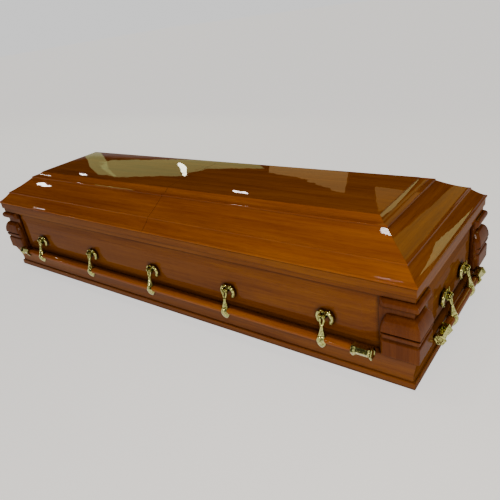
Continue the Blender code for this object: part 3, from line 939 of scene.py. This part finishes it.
@dataclass
class SwingHandles:
    """A swing-bar handle on each side: bowed lugs, drop arms, a turned bar and six-sided tips.

    Each is drawn round its hinge axis, with X along the axis and -Y outwards. Stations are places on
    X, Y and Z from there.
    """

    finishes: Finishes
    pivot_height: float = 0.192
    pivot_outset: float = 0.010
    bar_out: float = 0.010
    bar_drop: float = 0.076
    bar_radius: float = 0.012
    bar_overlap: float = 0.0177
    bar_end: float = 0.002
    bar_end_share: float = 0.92
    reach: float = 0.0237
    eye_radius: float = 0.0072
    eye_half_width: float = 0.0060
    eye_thickness: float = 0.0026
    eye_facets: int = 28
    # the strands end 2 mm below the middle of the knot
    strand: tuple[Triple, ...] = (
        (0.0066, -0.0016, -0.013), (0.0050, -0.0035, -0.022), (0.0006, -0.0060, -0.033))
    strand_radii: tuple[float, ...] = (0.0026, 0.0034, 0.0037, 0.0038)
    knot_drop: float = 0.031
    knot_half: float = 0.006
    knot_radius: float = 0.0050
    bead: tuple[tuple[float, float], ...] = (
        (0.0017, 0.90), (0.0012, 1.0), (0.0, 1.06), (-0.0012, 1.0), (-0.0017, 0.90))
    bead_lift: float = 0.0135
    bell_steps: int = 40
    socket_radius: float = 0.0185
    socket_half_width: float = 0.0190
    socket_drop: float = 0.0160
    tip_length: float = 0.065
    tip_gap: float = 0.005
    tip_collar: float = 0.0215
    tip_waist: float = 0.0155
    tip_facets: int = 6
    bow: tuple[Triple, ...] = (
        (0.0000, 0.0155, 0.0040), (0.0115, 0.0150, 0.0065), (0.0215, 0.0152, -0.0010),
        (0.0255, 0.0158, -0.0140), (0.0210, 0.0150, -0.0280))
    bow_radii: tuple[float, ...] = (0.0060, 0.0068, 0.0074, 0.0070, 0.0066)
    bud: tuple[Triple, ...] = ((0.0060, 0.0070, 0.0010), (0.0140, 0.0090, 0.0080), (0.0220, 0.0110, 0.0150))
    bud_radii: tuple[float, ...] = (0.0030, 0.0030, 0.0024)
    cheek: float = 0.0032
    cheek_clearance: float = 0.0004
    lug_tall: float = 0.0125
    lug_nose: float = 0.0075
    pin_radius: float = 0.0036
    pin_head: float = 0.0046
    bridge_start: float = 0.0135
    bridge_height: float = 0.0006
    small_round: float = 0.0006
    cheek_round: float = 0.0007
    bridge_round: float = 0.0009
    side_lugs: int = 5
    end_lugs: int = 2
    side_margin: float = 0.174
    end_margin: float = 0.1355

    def lug_places(self, side: Side) -> list[float]:
        """Places of the lugs along a side.

        Args:
            side: the side.

        Returns:
            Their distances from its middle.
        """
        count, margin = self.end_lugs, self.end_margin
        if side.is_long:
            count, margin = self.side_lugs, self.side_margin
        far = side.half_along - POST_LEG - margin
        return [far * (2 * index / (count - 1) - 1) for index in range(count)]

    def draw_arm(self) -> bmesh.types.BMesh:
        """Draw an arm: two eyes and their strands, a knot, and a bell that ends in a drop under the bar.

        Returns:
            Its mesh.
        """
        work = bmesh.new()
        for hand in (-1, 1):
            across = hand * (self.eye_half_width - self.eye_thickness / 2)
            lay = Matrix.Translation((across, 0.0, 0.0)) @ Matrix.Rotation(math.pi / 2, 4, "Y")
            eye = bmesh.new()
            bmesh.ops.create_cone(eye, cap_ends=True, segments=self.eye_facets, radius1=self.eye_radius,
                                  radius2=self.eye_radius, depth=self.eye_thickness, matrix=lay)
            soften(eye, sharp_edges(eye, 60), self.small_round)
            self.join(work, eye)
            line = [(across, 0.0, -0.0010), *self.on_hand(hand, self.strand)]
            self.sweep(work, line, self.strand_radii, 12, 10)
        rings = []
        for step in range(self.bell_steps + 1):
            share = (1 - math.cos(math.pi * step / self.bell_steps)) / 2
            rings.append(self.level_ring(*self.bell_form(share)))
        draw_rings(work, rings)
        for lift, swelling in ((self.knot_drop, 1.12), (self.bar_drop - self.bead_lift, 1.05)):
            share = ((lift - self.knot_drop + self.knot_half)
                     / (self.drop_low() - self.knot_drop + self.knot_half))
            width, depth, middle, height = self.bell_form(share)
            draw_rings(work, [
                self.level_ring(width * swelling * swell, depth * swelling * swell, middle, height + rise)
                for rise, swell in self.bead])
        return work

    @staticmethod
    def on_hand(hand: int, stations: Sequence[Triple]) -> list[Triple]:
        """Stations as they are for hand 1, and mirrored along the axis for hand -1."""
        return [(hand * along, depth, height) for along, depth, height in stations]

    def level_ring(self, width: float, depth: float, middle: float, height: float) -> Ring:
        """A level ring from half its width, half its depth, the place of its middle and its height."""
        return round_ring(Vector((0.0, middle, height)), Vector((width, 0.0, 0.0)),
                          Vector((0.0, depth, 0.0)), self.eye_facets)

    def drop_low(self) -> float:
        """How far the drop's tip hangs under the hinge."""
        return self.bar_drop + self.socket_radius + self.socket_drop

    def bell_form(self, share: float) -> tuple[float, float, float, float]:
        """Form of the bell and the drop, from the knot down.

        Args:
            share: 0 at the top of the knot, 1 at the tip of the drop.

        Returns:
            Half its width, half its depth, the place of its middle outwards and its height.
        """
        top = self.knot_drop - self.knot_half
        fall = top + (self.drop_low() - top) * share
        mouth = self.bar_drop + 0.001
        if fall < mouth:
            flare = max((fall - self.knot_drop) / (mouth - self.knot_drop), 0.0) ** 1.4
            neck = min((fall - top) / self.knot_half, 1.0)
            width = self.knot_radius + (self.socket_half_width - self.knot_radius) * flare
            depth = self.knot_radius + (self.socket_radius - self.knot_radius) * flare
            close = max(math.sqrt(max(1 - (1 - neck) ** 2, 0.0)), 0.06)
        else:
            width, depth = self.socket_half_width, self.socket_radius
            close = max((1 - ((fall - mouth) / (self.drop_low() - mouth)) ** 2.0) ** 0.80, 0.03)
        lean = min(fall / self.bar_drop, 1.0)
        return width * close, depth * close, -self.bar_out * lean - 0.002 * math.sin(math.pi * lean), -fall

    @staticmethod
    def sweep(work: bmesh.types.BMesh, stations: Sequence[Triple], radii: Sequence[float], facets: int,
              steps: int) -> None:
        """Draw a round rod along a smooth line through stations, closed by a rounded end.

        Args:
            work: the mesh that it is drawn in.
            stations: the points that the line passes.
            radii: the rod's radius at each.
            facets: corners of each ring.
            steps: rings between stations.
        """
        points = [Vector(station) for station in stations]
        spread = [(after - before) / 6 for before, after in
                  zip([points[0]] + points[:-1], points[1:] + [points[-1]])]
        path, sizes = [], []
        for number in range(len(points) - 1):
            piece = interpolate_bezier(points[number], points[number] + spread[number],
                                       points[number + 1] - spread[number + 1], points[number + 1], steps + 1)
            path += piece[:-1]
            sizes += [radii[number] + (radii[number + 1] - radii[number]) * step / steps
                      for step in range(steps)]
        path.append(points[-1])
        sizes.append(radii[-1])
        tip = (path[-1] - path[-2]).normalized() * sizes[-1]
        rings = []
        side = Vector((0.0, 1.0, 0.0))
        for step, (point, size) in enumerate(zip(path, sizes)):
            ahead = (path[min(step + 1, len(path) - 1)] - path[max(step - 1, 0)]).normalized()
            up = ahead.cross(side).normalized()
            out = up.cross(ahead).normalized()
            rings.append(round_ring(point, out * size, up * size, facets))
        for turn in (25, 48, 66, 80):
            angle = math.radians(turn)
            rings.append(round_ring(path[-1] + tip * math.sin(angle), out * sizes[-1] * math.cos(angle),
                                    up * sizes[-1] * math.cos(angle), facets))
        draw_rings(work, rings)

    def draw_lug(self) -> bmesh.types.BMesh:
        """Draw a lug: two cheeks, the domed heads of its pin, the two arms of its bow and a small bud.

        Returns:
            Its mesh.
        """
        work = bmesh.new()
        tall = self.lug_tall
        outline = [(self.reach, -tall * 0.8), (self.reach / 2, -tall * 0.65)]
        for step in range(11):
            turn = math.radians(260 - 160 * step / 10)
            outline.append((self.lug_nose * math.cos(turn), self.lug_nose * math.sin(turn)))
        outline += [(self.reach / 2, tall * 0.85), (self.reach, tall)]
        inner = self.eye_half_width + self.cheek_clearance
        for hand in (-1, 1):
            cheek = bmesh.new()
            draw_rings(cheek, [[Vector((hand * along, depth, height)) for depth, height in outline]
                               for along in (inner, inner + self.cheek)])
            soften(cheek, sharp_edges(cheek, 40), self.cheek_round)
            self.join(work, cheek)
            head = (Matrix.Translation((hand * (inner + self.cheek), 0.0, 0.0))
                    @ Matrix.Diagonal((0.55, 1, 1, 1)))
            bmesh.ops.create_uvsphere(work, u_segments=20, v_segments=12, radius=self.pin_head, matrix=head)
            self.sweep(work, self.on_hand(hand, self.bow), self.bow_radii, 18, 8)
        self.sweep(work, self.bud, self.bud_radii, 14, 5)
        lay = Matrix.Rotation(math.pi / 2, 4, "Y")
        bmesh.ops.create_cone(work, cap_ends=True, segments=20, radius1=self.pin_radius,
                              radius2=self.pin_radius, depth=2 * inner + self.cheek, matrix=lay)
        bridge = Matrix.Translation((0.0, (self.reach + self.bridge_start) / 2, self.bridge_height))
        made = bmesh.ops.create_cube(work, size=1.0, matrix=bridge @ Matrix.Diagonal(
            (2 * inner + self.cheek, self.reach - self.bridge_start, tall * 1.6, 1.0)))
        soften(work, list({edge for vert in made["verts"] for edge in vert.link_edges}), self.bridge_round)
        return work

    @staticmethod
    def join(work: bmesh.types.BMesh, part: bmesh.types.BMesh) -> None:
        """Add a part's mesh to another, and free it.

        Args:
            work: the mesh that receives it.
            part: the part's mesh.
        """
        holder = bpy.data.meshes.new("holder")
        part.to_mesh(holder)
        part.free()
        work.from_mesh(holder)
        bpy.data.meshes.remove(holder)

    @staticmethod
    def turned(form: Sequence[tuple[float, float]], facets: int) -> bmesh.types.BMesh:
        """Draw a form turned on the X axis.

        Args:
            form: places along the axis and the radius at each.
            facets: corners of each ring.

        Returns:
            Its mesh.
        """
        work = bmesh.new()
        draw_rings(work, [round_ring(Vector((along, 0.0, 0.0)), Vector((0.0, radius, 0.0)),
                                     Vector((0.0, 0.0, radius)), facets) for along, radius in form])
        return work

    def draw_tip(self) -> bmesh.types.BMesh:
        """Draw a bar tip along +X: a six-sided sleeve with a flared collar at each end.

        Returns:
            Its mesh.
        """
        length, collar, waist = self.tip_length, self.tip_collar, self.tip_waist
        mouth = self.bar_radius + 0.0012
        work = self.turned([
            (0.003, mouth), (0.0, mouth + 0.0012), (0.0, collar), (0.006, collar), (0.013, waist),
            (length - 0.014, waist), (length - 0.006, collar), (length - 0.002, collar),
            (length, collar * 0.82), (length, collar * 0.55), (length - 0.0018, collar * 0.48),
        ], self.tip_facets)
        soften(work, sharp_edges(work, 20), self.small_round)
        return work

    def draw_bar(self, half: float) -> bmesh.types.BMesh:
        """Draw a turned bar with a small shoulder where each tip takes it.

        Args:
            half: half the bar's length.

        Returns:
            Its mesh.
        """
        radius, end = self.bar_radius, self.bar_radius * self.bar_end_share
        form = [(-half, end), (-half + self.bar_end, radius)]
        form += [(half * share, radius) for share in (-0.6, -0.2, 0.2, 0.6)]
        return self.turned(form + [(half - self.bar_end, radius), (half, end)], 40)

    def build(self) -> None:
        """Make the four handles and their lugs."""
        brass = [self.finishes.brass]
        for side in Side:
            hinge = side.place(-self.pivot_outset, self.pivot_height)
            label = side.label
            body = f"handle_{label}"
            for number, along in enumerate(self.lug_places(side), start=1):
                move = hinge @ Matrix.Translation((along, 0.0, 0.0))
                make_piece(f"scrolled_lug_{label}_{number}", f"lug_{label}_{number}", self.draw_lug(), brass,
                           move, smooth=40.0)
                make_piece(f"drop_arm_{label}_{number}", f"arm_{label}_{number}", self.draw_arm(), brass,
                           move, body, 60.0)
            centre = hinge @ Matrix.Translation((0.0, -self.bar_out, -self.bar_drop))
            mouth = side.half_along - POST_LEG - self.tip_gap - self.tip_length
            # the long bars take the lighter, lit copy of the wood
            wood = self.finishes.golden_lit_copy if side.is_long else self.finishes.across
            make_piece(f"turned_bar_{label}", f"bar_{label}", self.draw_bar(mouth + self.bar_overlap), [wood],
                       centre, body)
            for number, hand in ((1, -1), (2, 1)):
                move = (centre @ Matrix.Translation((hand * mouth, 0.0, 0.0))
                        @ Matrix.Rotation(math.pi * (hand < 0), 4, "Z"))
                make_piece(f"hex_tip_{label}_{number}", f"tip_{label}_{number}", self.draw_tip(), brass,
                           move, body, 25.0)


class LampShape(Enum):
    """The outline of a lamp's face, as Blender names it."""

    PANEL = "RECTANGLE"
    BULB = "ELLIPSE"

    @property
    def fullness(self) -> float:
        """How much of its rectangle the face fills."""
        return math.pi / 4 if self is LampShape.BULB else 1.0


@dataclass(frozen=True)
class SoftBox:
    """A studio light with a flat face.

    It stands at place and shines at target, or straight at the front of the room where it has none.
    Its tilt turns it about its own beam. Its glow is the brightness of its face, whatever its size.
    """

    name: str
    place: Triple
    width: float
    height: float
    glow: float
    tint: str
    target: Triple | None = None
    tilt: float = 0.0
    shape: LampShape = LampShape.PANEL

    def build(self) -> None:
        """Make the light."""
        lamp = bpy.data.lights.new(self.name, "AREA")
        lamp.shape = self.shape.value
        lamp.size = self.width
        lamp.size_y = self.height
        lamp.energy = self.glow * math.pi * self.width * self.height * self.shape.fullness
        lamp.color = linear(self.tint)[:3]
        light = bpy.data.objects.new(self.name, lamp)
        bpy.context.scene.collection.objects.link(light)
        target = self.target or (self.place[0], 0.0, self.place[2])
        aim = (Vector(target) - Vector(self.place)).to_track_quat("-Z", "Y").to_matrix().to_4x4()
        light.matrix_world = (Matrix.Translation(self.place) @ aim
                              @ Matrix.Rotation(math.radians(self.tilt), 4, "Z"))


@dataclass
class Studio:
    """Floor, lights, surroundings and camera.

    The wall panels and lamps stand where the lid mirrors them for the camera.
    """

    floor_half: float = 40.0
    room_light: float = 1.1
    room: tuple[tuple[float, str], ...] = (
        (0.0, "#f2f2f2"), (0.165, "#f2f2f2"), (0.205, "#47443a"), (0.50, "#2a2519"), (0.72, "#a8854c"),
        (0.92, "#d8c090"))
    eye: Triple = (1.449, -1.4501, 1.0684)
    aim_degrees: Triple = (63.9068, 7.8205, 36.227)
    lens: float = 36.237
    lights: tuple[SoftBox, ...] = (
        SoftBox("key_softbox", (1.9, -1.80, 1.65), 0.9, 0.7, 21.5, "#fff1de", (0.7, 0.0, 0.3)),
        SoftBox("front_lamp_left", (-3.6, -2.5, 0.35), 0.12, 0.08, 60.0, "#fff6e6", (0.0, -0.35, 0.2)),
        SoftBox("front_lamp_middle", (-0.5, -3.2, 0.6), 0.20, 0.12, 60.0, "#fff6e6", (0.4, -0.35, 0.2)),
        SoftBox("wall_panel_long", (-3.40, 3.0, 1.55), 3.10, 0.46, 2.7, "#dcec98", tilt=14.6),
        SoftBox("wall_panel_left", (-5.00, 3.0, 1.62), 0.46, 0.94, 2.7, "#dcec98"),
        SoftBox("wall_panel_middle", (-1.30, 3.0, 1.42), 0.95, 0.50, 2.5, "#ffd488", tilt=-14.0),
        SoftBox("wall_panel_right", (-0.25, 3.0, 1.95), 0.60, 0.62, 2.3, "#ffcc7c"),
        SoftBox("wall_panel_end", (2.20, 3.0, 1.80), 0.72, 0.64, 6.6, "#fbffa8"),
        SoftBox("wall_panel_dim", (1.50, 3.0, 2.15), 0.50, 1.15, 2.4, "#ffe48a", tilt=32.4),
        SoftBox("wall_lamp", (-3.18, 2.98, 1.60), 0.13, 0.30, 45.0, "#fffbe0", shape=LampShape.BULB),
        SoftBox("shoulder_lamp_left", (-5.63, 2.98, 2.13), 0.17, 0.08, 70.0, "#fff4f0"),
        SoftBox("shoulder_lamp_right", (-2.37, 2.98, 2.19), 0.24, 0.07, 70.0, "#fff4f0"),
        SoftBox("ceiling_lamp_left", (-4.35, -0.33, 2.6), 0.09, 0.16, 140.0, "#fffaf4",
                (-0.8, -0.25, 0.44), shape=LampShape.BULB),
        SoftBox("ceiling_lamp_right", (0.17, -0.40, 2.6), 0.24, 0.06, 140.0, "#fffaf4",
                (0.17, -0.40, 0.0), shape=LampShape.BULB),
    )

    def build(self) -> None:
        """Set up the studio."""
        self.build_floor()
        self.build_surroundings()
        for light in self.lights:
            light.build()
        self.build_camera()

    def build_floor(self) -> None:
        """Lay the paper floor."""
        work = bmesh.new()
        bmesh.ops.create_grid(work, x_segments=1, y_segments=1, size=self.floor_half)
        mesh = bpy.data.meshes.new("studio_floor")
        work.to_mesh(mesh)
        work.free()
        mesh.materials.append(StudioPaper().material())
        floor = bpy.data.objects.new("studio_floor", mesh)
        bpy.context.scene.collection.objects.link(floor)

    def build_surroundings(self) -> None:
        """Make the room: pale round the horizon and dim above it, so the lacquer has depth."""
        world = bpy.data.worlds.new("studio_room")
        bpy.context.scene.world = world
        recipe = Recipe(world)
        way = recipe.node("TexCoord").outputs["Generated"]
        height = recipe.node("SeparateXYZ", {0: way}).outputs["Z"]
        colour = recipe.ramp(height, [(place, linear(tone)) for place, tone in self.room])
        recipe.fill(recipe.tree.nodes["Background"], {"Color": colour, "Strength": self.room_light})

    def build_camera(self) -> None:
        """Set the camera at the photograph's viewing angle."""
        data = bpy.data.cameras.new("photo_camera")
        data.sensor_width = 36.0
        data.lens = self.lens
        data.clip_start = 0.05
        data.clip_end = 200.0
        camera = bpy.data.objects.new("photo_camera", data)
        bpy.context.scene.collection.objects.link(camera)
        turn = Euler([math.radians(angle) for angle in self.aim_degrees], "XYZ").to_matrix().to_4x4()
        camera.matrix_world = Matrix.Translation(self.eye) @ turn
        bpy.context.scene.camera = camera


def dress_floor_board(finishes: Finishes) -> None:
    """Give the floor board, whose solid is right as it is, its bare wood.

    Args:
        finishes: the coffin's materials.
    """
    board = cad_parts["floor_board"]
    board.material_slots[0].material = finishes.board
    LOG.info("floor_board: dressed")


def main() -> None:
    """Build the coffin and its studio in order."""
    logging.basicConfig(level=logging.INFO, format="%(name)s %(message)s")
    finishes = Finishes()
    dress_floor_board(finishes)
    for sub_assembly in (BaseMoulding, CornerPosts, PanelledSides, RimMoulding, SplitLid, SwingHandles):
        sub_assembly(finishes).build()
    Studio().build()


if __name__ == "__main__":
    main()
